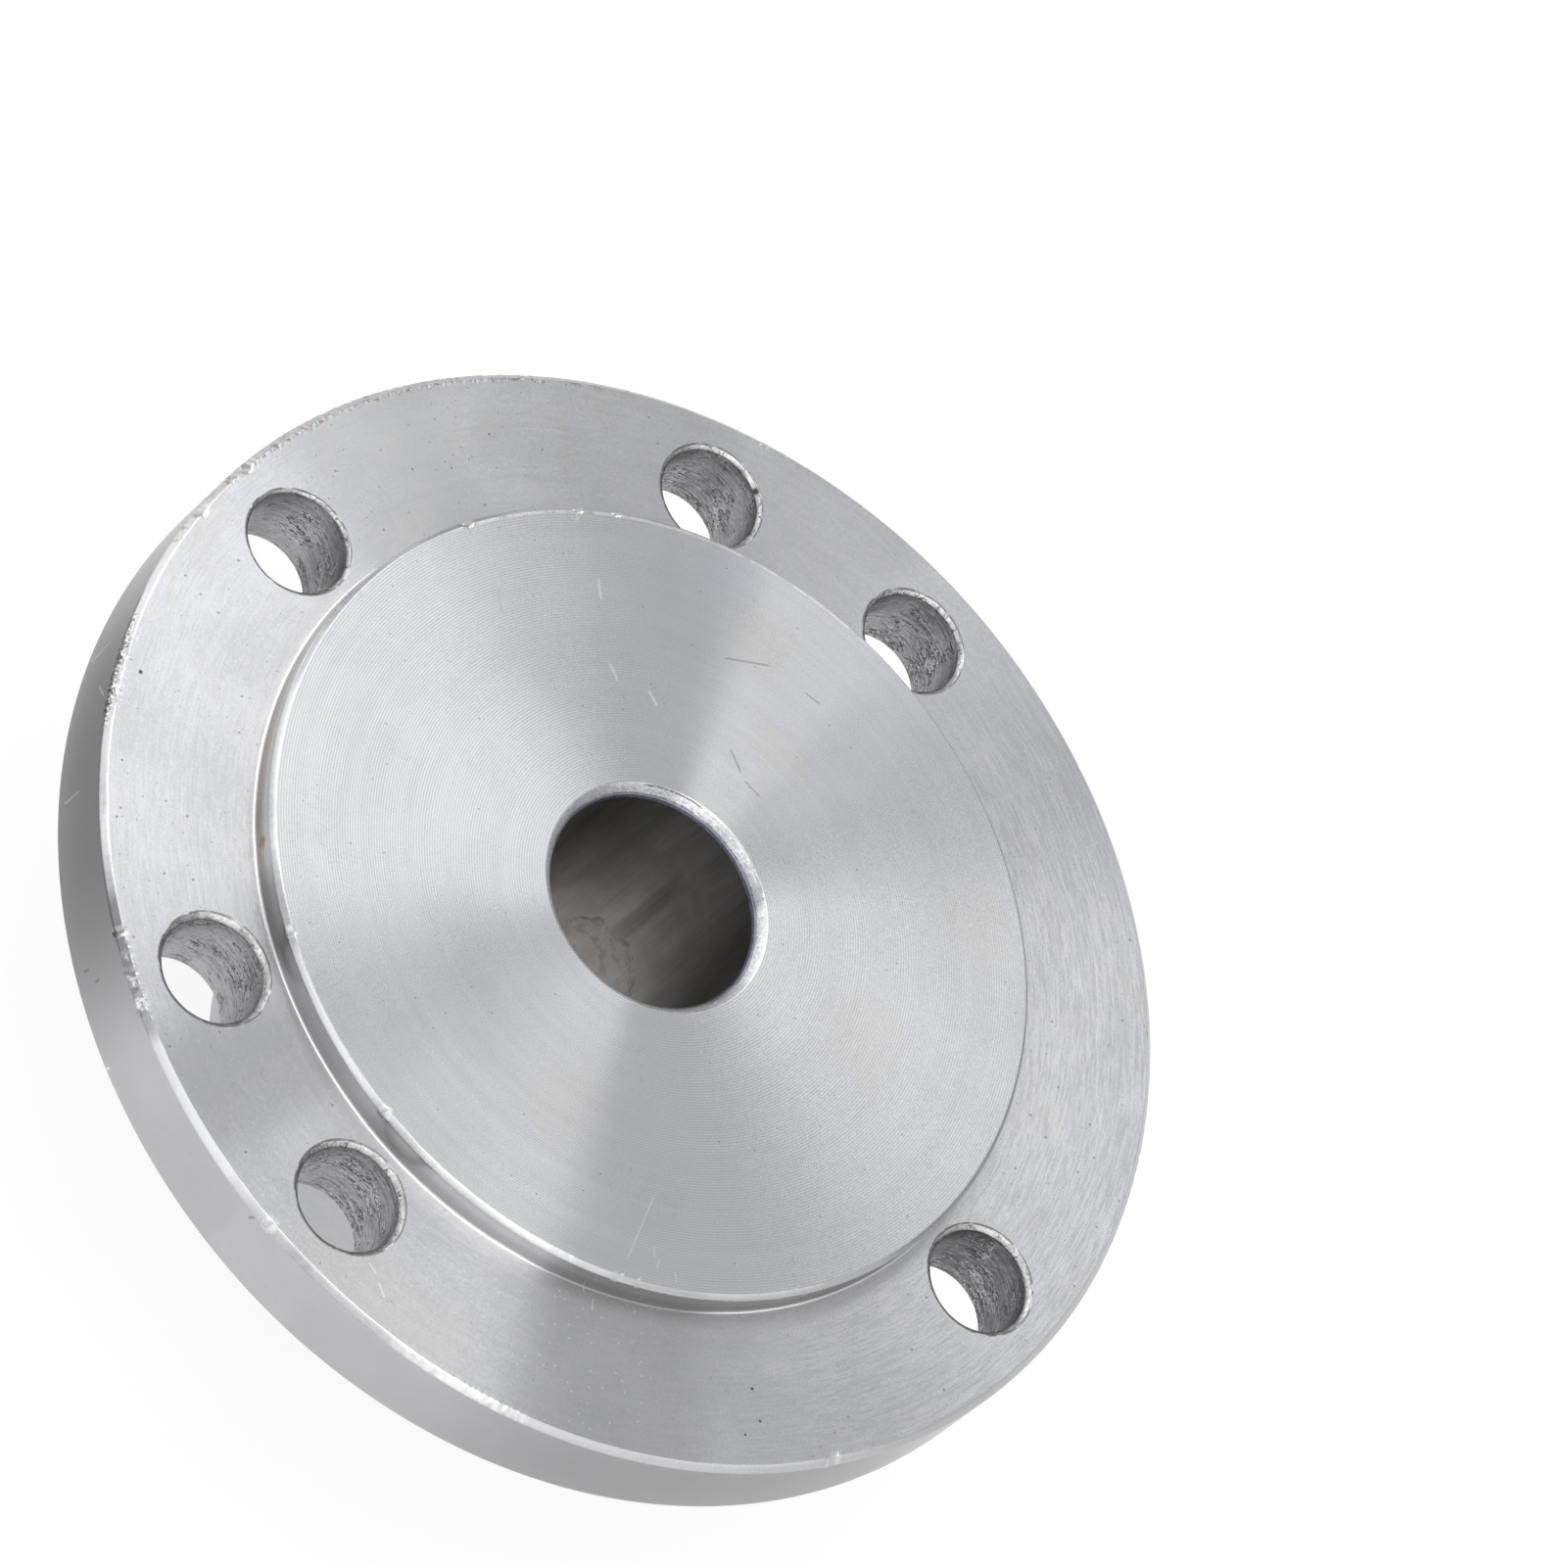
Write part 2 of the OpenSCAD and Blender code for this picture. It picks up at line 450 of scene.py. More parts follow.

# %% [markdown]
# ## The faced steel of the spigot
# The facing tool left a spiral of fine grooves, four to the millimetre. Under a lamp they make the
# bright wedges that turn with the eye: each groove spreads light across itself and not along
# itself. An anisotropic shader does just that when its highlight is turned a quarter, because
# Blender's own tangent already runs round the Z axis. The grooves that can be seen one by one are a
# sine of the radius and the angle, so they are a true spiral. They are crisper on some sides than on
# others, and one sector behind the bore is painted lighter: a painted highlight that copies a
# lamp's wedge in the colour.

# %% Spigot face: grooves and grain
GROOVE_PITCH, FACE_ROUGHNESS = 0.245, 0.27
spigot = Finish("faced_spigot")
angle = spigot.y.math("ARCTAN2", spigot.x)
grooves = (spigot.r * (math.tau / GROOVE_PITCH) + angle).wave()
grain = spigot.noise(spigot.place, 6.0, 2.0, 0.6) - 0.5
rings = spigot.noise(spigot.round_the_axis(60.0, spigot.r, 0.9), 1.0, 3.0, 0.6) - 0.5
cloud = spigot.noise(spigot.place, 0.09, 3.0, 0.55)
crisp = 0.4 + spigot.sector(180, 50, 30).most(spigot.sector(355, 55, 35)) * 0.6
crisp = crisp + spigot.sector(322, 14, 14) * 0.3
grooves = grooves * crisp
rough = grain * (0.18 + spigot.sector(20, 38, 28) * 3.2)
tone = (grooves * 0.24 + rough * 0.5 + rings * 0.45 + cloud - 0.5).above(-0.5, 0.5)
colour = spigot.tint(tone, (0.565, 0.571, 0.60), (0.684, 0.69, 0.718))
# painted highlight: one sector of the spigot face is tinted towards white where a lamp's wedge lies
colour = spigot.tint(spigot.sector(101, 5, 10) * 0.22, colour, (0.90, 0.90, 0.93))

# %% [markdown]
# The face has been handled. A few scratches have known places and are drawn as straight lines; the
# many faint ones are noise drawn out along a direction. The warm stains and a bluish one are soft
# patches with ragged edges.

# %% Spigot face: marks
DEEP_SCRATCHES = [(-10.37, 22.81, -7.12, 26.02), (-3.53, 26.75, -1.95, 27.06),
                  (-1.82, 15.33, 0.23, 15.36), (-4.6, 16.6, -2.4, 15.6)]
FRESH_SCRATCHES = [(-27.95, 9.95, -25.94, 8.26), (-22.61, 18.54, -21.18, 17.26),
                   (-16.76, 13.23, -15.31, 12.62), (-12.90, 14.31, -11.44, 13.86),
                   (-33.22, 12.08, -32.64, 11.57), (-28.06, 21.76, -27.36, 21.26)]
LIGHT_SCRATCHES = [(17.3, -21.5, 19.4, -28.0), (20.2, -25.0, 20.9, -25.8),
                   (21.3, -25.5, 21.6, -26.3), (22.9, -25.2, 23.6, -25.9)]


def all_of(masks):
    """The strongest of several masks."""
    total = masks[0]
    for mask in masks[1:]:
        total = total.most(mask)
    return total


def face_scratches(ends, width):
    """Scratches on the spigot face: x and y of one end, then of the other."""
    return all_of([spigot.scratch((*end[:2], FACE_Z), (*end[2:], FACE_Z), width) for end in ends])


deep, fresh = face_scratches(DEEP_SCRATCHES, 0.2), face_scratches(FRESH_SCRATCHES, 0.24)
light = face_scratches(LIGHT_SCRATCHES, 0.14)
handled = spigot.noise(spigot.place, 0.12, 2.0).above(0.5, 0.62)
faint = all_of([spigot.strokes(turn, 1.6, 0.09, 0.72) for turn in (25, 78, 140)]) * handled
ragged = (spigot.noise(spigot.place, 0.5, 5.0, 0.7) - 0.5) * 11.0
warm = all_of([spigot.spot((x, y, FACE_Z), size, ragged) for x, y, size in (
    (-9.4, 26.8, 5.0), (-1.7, 19.6, 4.0), (6.5, -22.0, 5.0), (20.7, 6.0, 6.0),
    (20.7, 23.3, 5.5))])
specks = spigot.flecks(2.6, 0.10, 0.12)
colour = spigot.tint(warm * 0.3, colour, WARM)
colour = spigot.tint(spigot.spot((-15.9, 29.5, FACE_Z), 5.0, ragged) * 0.4, colour, BLUE)
colour = spigot.tint(deep * 0.65 + faint * 0.22, colour, (0.25, 0.25, 0.26))
colour = spigot.tint(specks * 0.7, colour, (0.22, 0.21, 0.19))
# painted highlight: a bright line at the outer edge of the spigot face on its far side, where the
# edge-on chamfer mirrors the room
painted_edge_highlight = spigot.r.above(35.26, 35.4) * spigot.sector(128, 30, 8)
painted_edge_highlight = painted_edge_highlight * spigot.noise(spigot.place, 0.9, 3.0).above(0.36, 0.5)
colour = spigot.tint(all_of([fresh, painted_edge_highlight * 0.8, light * 0.5]), colour, FRESH_METAL_AND_HIGHLIGHT)
spigot.set(Base_Color=colour, Metallic=1.0,
           Roughness=FACE_ROUGHNESS + grain * 0.03 + rings * 0.03 + fresh * 0.25 + deep * 0.1,
           Anisotropic=1.0, Anisotropic_Rotation=0.25,
           Normal=spigot.bump(grooves * 1.4 + rough * 0.4 - deep * 3.0, 1.6))

# %% [markdown]
# ## The faced steel of the flange
# The flange was faced with a coarser feed and has lain on benches since. Its marks are short dashes
# along the turning, with small dark pits between them, and a warm bloom near the rim. A few sectors
# are painted darker, a painted shade that copies the dark wedges between the lamps' highlights, and
# the newest nicks and flecks are bright.

# %% Flange face
seat = Finish("faced_flange")
grain = seat.noise(seat.place, 4.0, 3.0, 0.6) - 0.5
dashes = seat.noise(seat.round_the_axis(2.8, seat.r, 0.22), 1.0, 3.0, 0.7) - 0.5
rings = seat.noise(seat.round_the_axis(60.0, seat.r, 0.7), 1.0, 3.0, 0.6) - 0.5
coarse = 0.32 + seat.sector(22, 38, 28) * 1.2 + seat.sector(205, 28, 20) * 0.35
cloud = seat.noise(seat.place, 0.1, 3.0, 0.6)
fine = seat.noise(seat.place, 7.0, 2.0, 0.6) - 0.5
smudge = seat.spot((-15.3, -44.7, SEAT_Z), 9.0, (cloud - 0.5) * 9.0)
tone = dashes * coarse + grain * 0.5 + fine * 0.6 + rings * 0.3 + (cloud - 0.5) * 0.7
tone = (tone - smudge * 0.22).above(-0.3, 0.3)
colour = seat.tint(tone, (0.56, 0.566, 0.592), (0.69, 0.694, 0.718))
# painted shade: four sectors of the flange face are darkened, copies of the dark wedges between the
# lamps' highlights
darker_sectors = all_of([seat.sector(105, 5, 7) * 0.33, seat.sector(164, 5, 8) * 0.4,
               seat.sector(252, 3, 6) * 0.33, seat.sector(306, 6, 8) * 0.37])
colour = seat.tint(darker_sectors, colour, (0.40, 0.403, 0.42))

# %% Flange face: pits, nicks, stains and the burr round each hole
SEAT_NICKS = [(4.8, -45.1, 5.9, -45.3), (6.5, -45.7, 7.7, -46.3), (19.9, -31.0, 20.5, -31.9),
              (18.5, -30.9, 19.1, -31.3)]
burr = all_of([(seat.flat.distance((*hole_at[turn], 0)) - (HOLE_R + width + 0.09)).size()
               .below(0.03, 0.12) for turn, width in COUNTERSINKS.items()])
burr = burr * seat.noise(seat.place, 0.6, 2.0).above(0.36, 0.5)
pits = all_of([seat.flecks(2.1, 0.16, 0.10), seat.flecks(1.1, 0.09, 0.12)])
pits = pits * (0.25 + seat.sector(195, 60, 30).most(seat.sector(20, 30, 30)) * 0.6)
black = all_of([seat.spot((x, y, SEAT_Z), size) for x, y, size in (
    (-42.88, -21.38, 0.28), (34.45, -25.32, 0.2), (36.66, -29.04, 0.16), (36.76, -26.98, 0.18),
    (-38.6, -28.9, 0.13), (-35.5, -33.2, 0.12))])
corner = [(-18.63, -32.37, SEAT_Z), (-18.30, -31.93, SEAT_Z), (-17.72, -32.60, SEAT_Z)]
struck = all_of([seat.scratch(*ends, 0.13) for ends in zip(corner, corner[1:])])
rust = seat.r.above(48.8, 49.3) * seat.sector(157, 16, 12) * seat.noise(
    seat.place, 1.3, 4.0, 0.75).above(0.53, 0.6)
bloom = seat.noise(seat.place, 0.35, 4.0, 0.65).above(0.52, 0.66)
bloom = bloom * (seat.sector(160, 35, 25) * 0.6 + seat.r.above(46.5, 49.5) * 0.4
                 + seat.sector(35, 25, 20) * 0.4 + 0.1)
bloom = bloom.most(seat.sector(279, 5, 9) * seat.r.above(42, 46) * 0.7)
nicks = all_of([seat.scratch((*end[:2], SEAT_Z), (*end[2:], SEAT_Z), 0.16) for end in SEAT_NICKS])
colour = seat.tint(bloom * 0.4, colour, WARM)
colour = seat.tint(pits * 0.8, colour, PIT)
colour = seat.tint(burr * 0.8, colour, (0.12, 0.12, 0.125))
colour = seat.tint(rust * 0.65, colour, BROWN)
colour = seat.tint(black.most(struck * 0.6), colour, SOOT)
bright = seat.flecks(0.8, 0.13, 0.2) * (0.12 + seat.sector(303, 4, 7) * 0.6)
colour = seat.tint(nicks.most(bright) * 0.6, colour, FRESH_METAL_AND_HIGHLIGHT)
seat.set(Base_Color=colour, Metallic=1.0,
         Roughness=FACE_ROUGHNESS - 0.01 + dashes * coarse * 0.12 + grain * 0.05,
         Anisotropic=1.0, Anisotropic_Rotation=0.25,
         Normal=seat.bump(dashes * coarse * 2.6 + rings * 0.8 + grain * 0.4 - pits * 3.0, 1.6))

# %% [markdown]
# The rear faces, under the flange and at the hub's end, were cut with the same tool and are seen
# from behind only. They get the dashes without the stains.

# %% Rear faces
rear = Finish("faced_rear")
grain = rear.noise(rear.place, 4.0, 3.0, 0.6) - 0.5
dashes = rear.noise(rear.round_the_axis(5.0, rear.r, 0.3), 1.0, 3.0, 0.65) - 0.5
rings = rear.noise(rear.round_the_axis(60.0, rear.r, 0.8), 1.0, 3.0, 0.6) - 0.5
pits = rear.flecks(2.1, 0.13, 0.10)
tone = (dashes + grain * 0.5 + rings * 0.4).above(-0.3, 0.3)
colour = rear.tint(tone, (0.54, 0.543, 0.565), (0.65, 0.653, 0.677))
rear.set(Base_Color=rear.tint(pits * 0.7, colour, PIT), Metallic=1.0,
         Roughness=0.29 + dashes * 0.12, Anisotropic=1.0, Anisotropic_Rotation=0.25,
         Normal=rear.bump(dashes * 2.0 + rings + grain * 0.6 - pits * 3.0, 1.6))

# %% [markdown]
# ## The turned walls
# The rim, the spigot and the hub were turned with a fine feed and mirror what is beside them. Their
# marks run round the axis too, one above the other, so the noise is drawn out round the axis and
# changes with the height.


# %% A turned wall
def turned_wall(name, dark, light, roughness):
    """A finish for a round wall, and its mask of fine turning lines."""
    wall = Finish(name)
    wall.grain = wall.noise(wall.place, 3.5, 3.0, 0.6) - 0.5
    wall.lines = wall.noise(wall.round_the_axis(40.0, wall.z, 0.22), 1.0, 3.0, 0.6) - 0.5
    wall.cloud = wall.noise(wall.place, 0.12, 3.0, 0.6) - 0.5
    tone = wall.grain * 0.3 + wall.lines * 0.5 + wall.cloud * 0.8
    wall.colour = wall.tint(tone.above(-0.3, 0.3), dark, light)
    wall.set(Metallic=1.0, Roughness=roughness + wall.lines * 0.06, Anisotropic=0.9,
             Anisotropic_Rotation=0.25, Normal=wall.bump(wall.lines * 1.5 + wall.grain * 0.4, 1.0))
    return wall


# %% Rim wall
rim_wall = turned_wall("turned_rim", (0.457, 0.458, 0.469), (0.502, 0.503, 0.513), 0.2)


def rim_line(degrees, low, high, lean=0.0):
    """A scratch up the rim wall at that direction, between two heights."""
    ends = [(FLANGE_R * math.cos(math.radians(degrees + turn)),
             FLANGE_R * math.sin(math.radians(degrees + turn)), z)
            for turn, z in ((0, low), (lean, high))]
    return rim_wall.scratch(*ends, 0.22, (math.cos(math.radians(degrees)),
                                          math.sin(math.radians(degrees)), 0))


light_lines = all_of([rim_line(202.2, 30.9, 34.4, -0.4), rim_line(218.45, 31.3, 34.3, 0.1),
                      rim_line(207.5, 35.2, 36.8, 2.0), rim_line(245, 29.4, 30.9, 0.3)])
dark_lines = all_of([rim_line(264.8, 36.9, 37.6, 0.3), rim_line(237.6, 33.0, 33.7),
                     rim_line(235.9, 31.7, 32.6, 0.2), rim_line(190.5, 35.4, 37.2, -0.8)])
around = rim_wall.y.math("ARCTAN2", rim_wall.x) * FLANGE_R
specks = rim_wall.flecks(3.1, 0.13, 0.14, rim_wall.vector(around, rim_wall.z, 0))
# painted shade: the rim wall is darkened round 186 degrees, a painted dark reflection beside the one the
# left card gives
colour = rim_wall.tint(rim_wall.sector(186, 5, 8) * 0.5, rim_wall.colour, (0.30, 0.302, 0.312))
colour = rim_wall.tint(light_lines * 0.8, colour, FRESH_METAL_AND_HIGHLIGHT)
rim_wall.set(Base_Color=rim_wall.tint(dark_lines * 0.7 + specks * 0.35, colour, PIT))

# %% Spigot wall and hub wall
spigot_wall = turned_wall("turned_spigot", (0.38, 0.379, 0.384), (0.45, 0.449, 0.455), 0.2)
up_wall = spigot_wall.z - SEAT_Z
# grime and painted shade: the spigot wall is darker and browner low down by the flange, brown grime and
# painted shade of the corner, and darker in sectors where it mirrors darker steel
grime_and_painted_shade = up_wall.below(0.9, 1.9) * (0.35 + spigot_wall.sector(203, 16, 14) * 0.4)
grime_and_painted_shade = grime_and_painted_shade + spigot_wall.sector(192, 16, 20) * 0.6 + spigot_wall.sector(330, 24, 12) * 0.4
grime_and_painted_shade = grime_and_painted_shade + spigot_wall.sector(187, 4, 8) * 0.4 + spigot_wall.sector(231, 4, 6) * 0.3
colour = spigot_wall.tint(grime_and_painted_shade, spigot_wall.colour, (0.225, 0.208, 0.186))
# painted highlight: a near-white line at the rounded foot of the spigot, left out round 306 degrees as
# painted shade
painted_foot_highlight = up_wall.below(0.15, 0.3) * (1 - spigot_wall.sector(306, 9, 8) * 0.9)
colour = spigot_wall.tint(painted_foot_highlight, colour, (0.84, 0.845, 0.85))
spot_at = [SPIGOT_R * turn(math.radians(224)) for turn in (math.cos, math.sin)]
spigot_wall.set(Base_Color=spigot_wall.tint(
    spigot_wall.spot((*spot_at, 39.6), 0.8, spigot_wall.grain * 1.2), colour, BROWN))
hub_wall = turned_wall("turned_hub", (0.46, 0.462, 0.475), (0.55, 0.552, 0.567), 0.25)
hub_wall.set(Base_Color=hub_wall.colour)

# %% [markdown]
# ## The chamfers
# The rim's chamfer is bright where it was filed and broken where the plate was dropped. Dark cracks
# follow the broken stretch: they are where a slow noise crosses its middle value, which gives long
# thin wandering lines. Further round, small bright chips stand on a darker stretch.

# %% Filed edges
edge = Finish("filed_edges")
grain = edge.noise(edge.place, 2.0, 3.0, 0.6) - 0.5
lines = edge.noise(edge.round_the_axis(14.0, edge.r, 0.09), 1.0, 3.0, 0.6) - 0.5
at_rim, at_bore = edge.r.above(45, 46), edge.r.below(12, 13)
lower_half = edge.z.below(SEAT_Z - 0.36, SEAT_Z - 0.16)
crumbled = edge.sector(207, 6.0, 1.0) * lower_half * at_rim
chips = edge.sector(239, 6, 1) * at_rim * edge.noise(edge.place, 0.9, 2.0).above(0.57, 0.66)
cracks = (edge.noise(edge.place, 1.5, 3.0, 0.6) - 0.5).size().below(0.01, 0.035)
teeth = edge.noise(edge.place, 3.6, 3.0, 0.6).above(0.41, 0.51)
lip = edge.z.below(SEAT_Z - 0.55, SEAT_Z - 0.44) * edge.sector(217, 18, 3) * at_rim
colour = edge.tint((grain * 0.5 + lines).above(-0.3, 0.3), (0.60, 0.603, 0.62), (0.69, 0.693, 0.71))
darker_sectors = edge.sector(238.5, 6, 2.5) * 0.8 + edge.sector(276, 4, 4) * 0.4
colour = edge.tint(darker_sectors * at_rim, colour, (0.30, 0.302, 0.31))
colour = edge.tint(crumbled * 0.8, colour, edge.tint(teeth, (0.15, 0.125, 0.10), FRESH_METAL_AND_HIGHLIGHT))
colour = edge.tint(chips * teeth * 0.8, colour, FRESH_METAL_AND_HIGHLIGHT)
colour = edge.tint(lip * 0.75, colour, SOOT)

# %% Filed edges: soiled at the top of the rim, painted shade at the spigot's right, cut twice at the bore with painted shade on the second cut
dirt = edge.noise(edge.place, 1.1, 4.0, 0.75).above(0.56, 0.62)
colour = edge.tint(edge.sector(160, 28, 12) * at_rim * (0.12 + dirt * 0.6), colour, (0.30, 0.26, 0.20))
at_spigot = edge.r.above(35, 35.2) * edge.r.below(35.84, 35.95)
# painted shade: the spigot's chamfer is darkened on its right and in a few sectors, where it mirrors the
# shaded foot beside it
darker_sectors = all_of([edge.sector(36, 40, 14) * 0.5, edge.sector(188, 9, 6) * 0.4,
               edge.sector(160, 4, 5) * 0.4, edge.sector(310, 4, 5) * 0.25])
colour = edge.tint(darker_sectors * at_spigot, colour, (0.15, 0.15, 0.158))
mottle = edge.noise(edge.round_the_axis(1.6, edge.r, 0.14), 1.0, 4.0, 0.7) - 0.5
wander = edge.noise(edge.round_the_axis(5.0, edge.z, 3.0), 1.0, 3.0, 0.6) - 0.5
painted_shade_second_cut = (edge.r + wander * 0.3).below(BORE_R + 0.21, BORE_R + 0.42)
colour = edge.tint(at_bore * (0.2 + lines * 1.6 + mottle * 3.6), colour, (0.32, 0.325, 0.37))
# painted shade: the bore's second, steeper cut is darkened, where it mirrors the dark bore
colour = edge.tint(at_bore * painted_shade_second_cut * (0.9 + mottle), colour, (0.12, 0.123, 0.165))
thin = (edge.r - (BORE_R + 0.2) + wander * 0.12).size().below(0.01, 0.04)
colour = edge.tint(at_bore * thin * 0.7, colour, (0.62, 0.62, 0.66))
torn = (edge.r - (BORE_R + 0.86) + wander * 0.2).size().below(0.03, 0.08) * edge.sector(120, 13, 4)
colour = edge.tint(at_bore * torn * 0.8, colour, SOOT)
crest = edge.r.above(BORE_R + 0.5, BORE_R + 0.9) * mottle.above(0.02, 0.14)
sparks = edge.noise(edge.place, 3.4, 3.0, 0.7).above(0.55, 0.61) * edge.sector(20, 60, 25)
crest = crest.most(sparks * edge.r.above(BORE_R + 0.5, BORE_R + 0.7))
colour = edge.tint(at_bore * crest, colour, FRESH_METAL_AND_HIGHLIGHT)
colour = edge.tint(cracks * crumbled * 0.8, colour, SOOT)
edge.set(Base_Color=colour, Metallic=1.0,
         Roughness=0.27 + grain * 0.08 + at_bore * (lines * 0.3 + mottle * 0.4 + 0.05) + crumbled * 0.1,
         Anisotropic=1.0, Anisotropic_Rotation=0.25,
         Normal=edge.bump(grain * 0.6 + lines * (0.8 + at_bore) + mottle * at_bore * 1.6
                          + (teeth - cracks) * crumbled, 4.0))

# %% [markdown]
# The countersinks were cut by a chattering tool. Their tone changes in short stretches, with a dark
# line here and there where the edge has broken out.

# %% Countersinks
sink = Finish("countersinks")
grain = sink.noise(sink.place, 2.2, 3.0, 0.65) - 0.5
fine = sink.noise(sink.place, 5.0, 2.0, 0.6) - 0.5
chips = sink.noise(sink.place, 0.7, 2.0, 0.5) - 0.5
tone = (grain * 0.8 + fine * 0.9 + chips).above(-0.32, 0.26)
colour = sink.tint(tone, (0.38, 0.382, 0.39), (0.70, 0.698, 0.695))
dark = (sink.noise(sink.place, 0.8, 2.0, 0.5) - 0.5).size().below(0.005, 0.018)
outline = sink.z.above(SEAT_Z - 0.09, SEAT_Z - 0.03) * sink.z.below(SEAT_Z + 0.1, SEAT_Z + 0.2)
outline = outline * (chips + grain * 0.6).above(-0.12, 0.02)
notch = sink.spot((-18.65, 40.55, SEAT_Z - 0.15), 0.5)
dark = all_of([dark * 0.8, outline * 0.75, notch])
sink.set(Base_Color=sink.tint(dark, colour, SOOT), Metallic=1.0,
         Roughness=0.34 + grain * 0.2, Normal=sink.bump(grain, 12.0))

# %% [markdown]
# ## The bore
# The bore was honed along its length, so its streaks run down it and not round it. It sees little
# but itself, which makes it dark. Oil has left brown patches, a dark smear, and one stain with a
# broken dark line round it. Round that stain the bore is also painted lighter and warmer: painted
# light, as if it came up the bore from its far end.

# %% Bored wall
bore = Finish("bored_wall")


def down_the_bore(count, stretch, detail):
    """Noise with about count streaks to a radian, each drawn out down the bore."""
    where = bore.vector(bore.out_x * count, bore.out_y * count, bore.z * stretch)
    return bore.noise(where, 1.0, detail, 0.65) - 0.5


streaks, bands = down_the_bore(34.0, 0.12, 4.0), down_the_bore(3.5, 0.05, 3.0)
oil = bore.noise(bore.place, 0.16, 4.0, 0.6)
tone = (streaks * 0.6 + bands * 1.2).above(-0.4, 0.4)
colour = bore.tint(tone, (0.21, 0.205, 0.207), (0.36, 0.355, 0.35))
colour = bore.tint(oil.above(0.46, 0.7) * 0.5, colour, (0.22, 0.185, 0.155))
ragged = (bore.noise(bore.place, 0.5, 5.0, 0.7) - 0.5) * 10.0
stain_and_painted_light = bore.spot((1.5, 9.4, 17.5), 6.0, ragged)
smear = bore.sector(84, 1.5, 4.5) * bore.z.above(20, 24) * bore.z.below(30, 34.5)
tide = (bore.place.distance((1.5, 9.4, 17.5)) + ragged * 0.4 - 4.4).size().below(0.1, 0.6)
tide = tide * bore.noise(bore.place, 1.1, 4.0, 0.75).above(0.44, 0.56)
# painted light and stain: round the stain the bore is painted lighter and warmer, and dark stain specks
# lie within it
colour = bore.tint(stain_and_painted_light * (0.16 + streaks * 1.5), colour, (0.37, 0.34, 0.30))
stained = stain_and_painted_light * bore.noise(bore.place, 0.8, 4.0, 0.7).above(0.5, 0.64)
stained = all_of([tide * 0.6, smear * (0.5 + streaks), stained * 0.4])
colour = bore.tint(stained, colour, (0.10, 0.095, 0.09))
bore.set(Base_Color=colour, Metallic=1.0, Roughness=0.38 + streaks * 0.2, Normal=bore.bump(streaks, 6.0))

# %% [markdown]
# ## The bolt holes
# A drill in a hurry leaves rough walls: scores that run round the hole at a slight slant, torn
# pits, and a few jagged cracks, each with a painted highlight along one side. The scores are noise
# that changes quickly with the height.

# %% Drilled walls
drill = Finish("drilled_holes")
slant = drill.z + drill.x * 0.06 + drill.y * 0.05


def scored(across, along, detail=4.0, roughness=0.65):
    """Noise with about across lumps to a mm across the holes' walls, and along to a mm down them."""
    return drill.noise(drill.vector(drill.x * across, drill.y * across, slant * along), 1.0,
                       detail, roughness)


grain = drill.noise(drill.place, 3.0, 3.0, 0.6) - 0.5
scores = scored(0.35, 6.0, 4.0, 0.75) - 0.5
broad = drill.noise(drill.place, 0.22, 2.0, 0.5) - 0.5
pits = scored(0.9, 2.6).above(0.60, 0.66)
flecks = scored(0.7, 3.4).above(0.63, 0.68)
rougher = drill.noise(drill.place, 0.3, 1.0)
crack = scored(0.5, 1.3, 4.0, 0.7) - 0.5
jagged = crack.size().below(0.012, 0.03) * rougher.above(0.47, 0.55)
painted_crack_highlights = (crack - 0.045).size().below(0.006, 0.018) * rougher.above(0.47, 0.55)
top_shade = drill.z.above(SEAT_Z - 2.2, SEAT_Z - 0.4)
tone = scores * (1.3 + rougher.above(0.42, 0.6) * 1.1) + grain * 0.6 + broad * 0.4
tone = tone - top_shade * 0.12
tone = tone - drill.sector(0, 20, 5) * 0.16 + all_of(
    [drill.sector(180, 8, 3) * 0.09, drill.sector(240, 8, 3) * 0.11])
colour = drill.tint(tone.above(-0.48, 0.42), (0.10, 0.10, 0.107), (0.51, 0.51, 0.527))
colour = drill.tint((pits * 0.75).most(jagged * 0.95), colour, SOOT)
# light flecks, and a painted highlight as a light line beside each crack
colour = drill.tint((flecks * 0.6).most(painted_crack_highlights * 0.8), colour, (0.72, 0.72, 0.73))
drill.set(Base_Color=colour, Metallic=1.0, Roughness=0.40 + scores * 0.3,
          Normal=drill.bump(scores * 1.3 + grain * 0.3 + flecks * 0.4 - pits * 0.8 - jagged, 24.0))

# %% Give the faces their finishes
for finish in (spigot, seat, rear, rim_wall, spigot_wall, hub_wall, edge, sink, bore, drill):
    plate_mesh.materials.append(finish.material)
print("finishes:", {m.name: len(m.node_tree.nodes) for m in plate_mesh.materials})

# %% [markdown]
# ## The floor
# The plate stands on white paper. Most of the white is the paper's own, set by emission for the
# rays that see it, and a smaller part is lit by the lamps, so the plate keeps its soft shadow. Two
# cards lie beside it, where only the steel sees them. Each has a dark middle that fades out, and
# gives the rim a side that is darker than the rest.


# %% A flat sheet on the stage
def stage_sheet(name, corners, height, finish):
    """A flat sheet on the stage, which isn't part of the plate. Sizes in metres."""
    bm = bmesh.new()
    bm.faces.new([bm.verts.new((x, y, height)) for x, y in corners])
    mesh = bpy.data.meshes.new(name)
    bm.to_mesh(mesh)
    bm.free()
    sheet = bpy.data.objects.new(name, mesh)
    bpy.context.scene.collection.objects.link(sheet)
    mesh.materials.append(finish.material)
    return sheet


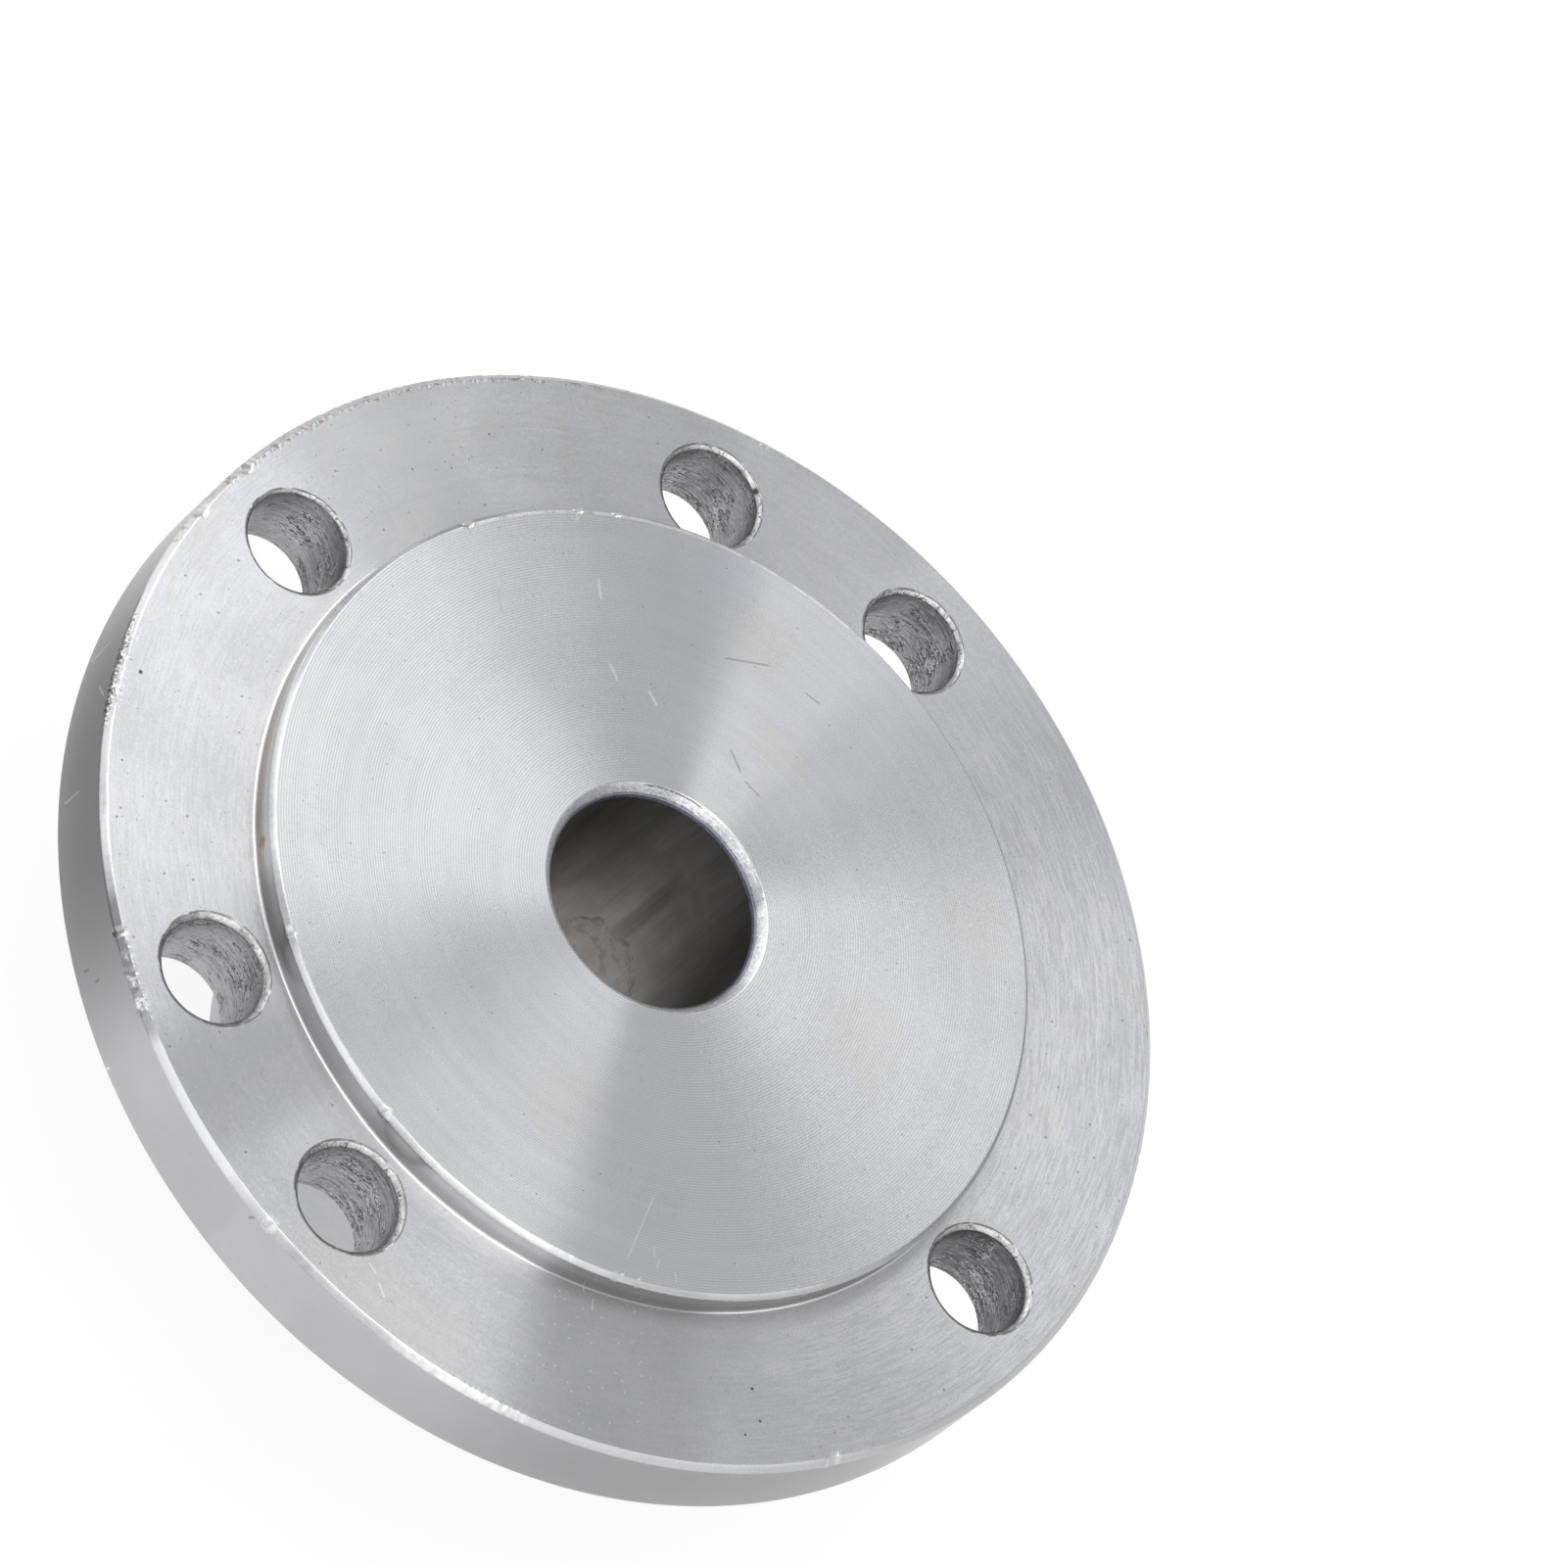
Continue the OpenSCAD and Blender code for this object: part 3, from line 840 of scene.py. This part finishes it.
# %% Floor
PAPER_OWN_WHITE = 0.84
LIT_TO, WHITE_FROM = 110, 230  # mm: the lit part fades out between these
paper = Finish("white_paper")
rays = all_of([paper.node("ShaderNodeLightPath", output=kind)
               for kind in ("Is Camera Ray", "Is Glossy Ray", "Is Transmission Ray")])
far = paper.r.above(LIT_TO, WHITE_FROM)
paper.set(Base_Color=paper.tint(far, (0.18, 0.18, 0.18), (0.0, 0.0, 0.0)), Roughness=1.0,
          Specular_IOR_Level=0.0, Emission_Color=(1, 1, 1),
          Emission_Strength=rays * (far * (1.0 - PAPER_OWN_WHITE) + PAPER_OWN_WHITE))
stage_sheet("floor", [(-9, -9), (9, -9), (9, 9), (-9, 9)], -0.00002, paper)

# %% Cards
CARD_INNER, CARD_OUTER = 0.057, 0.5  # metres
CARD_FADE = 40  # degrees from its darkest direction at which a card is pale again
CARDS = {  # name: (pale tone, dark tone, direction of its darkest part, half of that, whole half)
    "left_card": (0.82, 0.31, 201, 1, 62),
    "right_card": (0.86, 0.64, 335, 10, 58),
}
for name, (pale, dark, direction, half, reach) in CARDS.items():
    shade = Finish(name)
    tone = shade.tint(shade.sector(direction, half, CARD_FADE - half), (pale,) * 3, (dark,) * 3)
    shade.set(Base_Color=tone, Roughness=1.0, Specular_IOR_Level=0.0)
    turns = [math.radians(direction - reach + step * reach / 6) for step in range(13)]
    corners = [(CARD_INNER * math.cos(turn), CARD_INNER * math.sin(turn)) for turn in turns]
    corners += [(CARD_OUTER * math.cos(turn), CARD_OUTER * math.sin(turn)) for turn in turns[::-1]]
    card = stage_sheet(name, corners, 0.0005, shade)
    card.visible_camera = card.visible_diffuse = card.visible_shadow = False

# %% [markdown]
# ## The light
# Five softboxes about a metre off make the wedges on the faced steel. Each is given by where it
# stands on a dome over the plate. A lamp's watts are set from the brightness of its face, so a
# large softbox and a small one can be compared.

# %% World and softboxes
WORLD_LEVEL = 0.63
world = bpy.data.worlds.new("studio")
bpy.context.scene.world = world
world.use_nodes = True
world.node_tree.nodes["Background"].inputs["Color"].default_value = (WORLD_LEVEL,) * 3 + (1,)
DOME = 1.0
# name: (x and y on the dome, turn, width, height, brightness)
SOFTBOXES = {
    "left": (-0.589, 0.363, 0.79, 0.724, 1.164, 1.54),
    "front": (0.187, -0.270, -0.148, 0.503, 0.947, 2.05),
    "low": (-0.340, -0.621, -0.211, 0.571, 0.595, 1.15),
    "strip": (-0.575, -0.050, 0.420, 0.129, 0.869, 1.808),
    "right": (0.713, -0.289, 1.715, 0.463, 1.299, 0.797),
}
for name, (x, y, turn, width, height, brightness) in SOFTBOXES.items():
    out = Vector((x, y, math.sqrt(1 - x * x - y * y)))
    level = Vector((0, 0, 1)).cross(out).normalized()
    facing = Matrix((level, out.cross(level), out)).transposed()
    lamp = bpy.data.objects.new(name, bpy.data.lights.new(name, "AREA"))
    bpy.context.scene.collection.objects.link(lamp)
    lamp.matrix_world = (Matrix.Translation(out * DOME) @ facing.to_4x4()
                         @ Matrix.Rotation(turn, 4, "Z"))
    lamp.data.shape = "RECTANGLE"
    lamp.data.size, lamp.data.size_y = width, height
    lamp.data.energy = math.pi * width * height * brightness
    lamp.visible_camera = False
bpy.context.scene.view_settings.view_transform = "Standard"
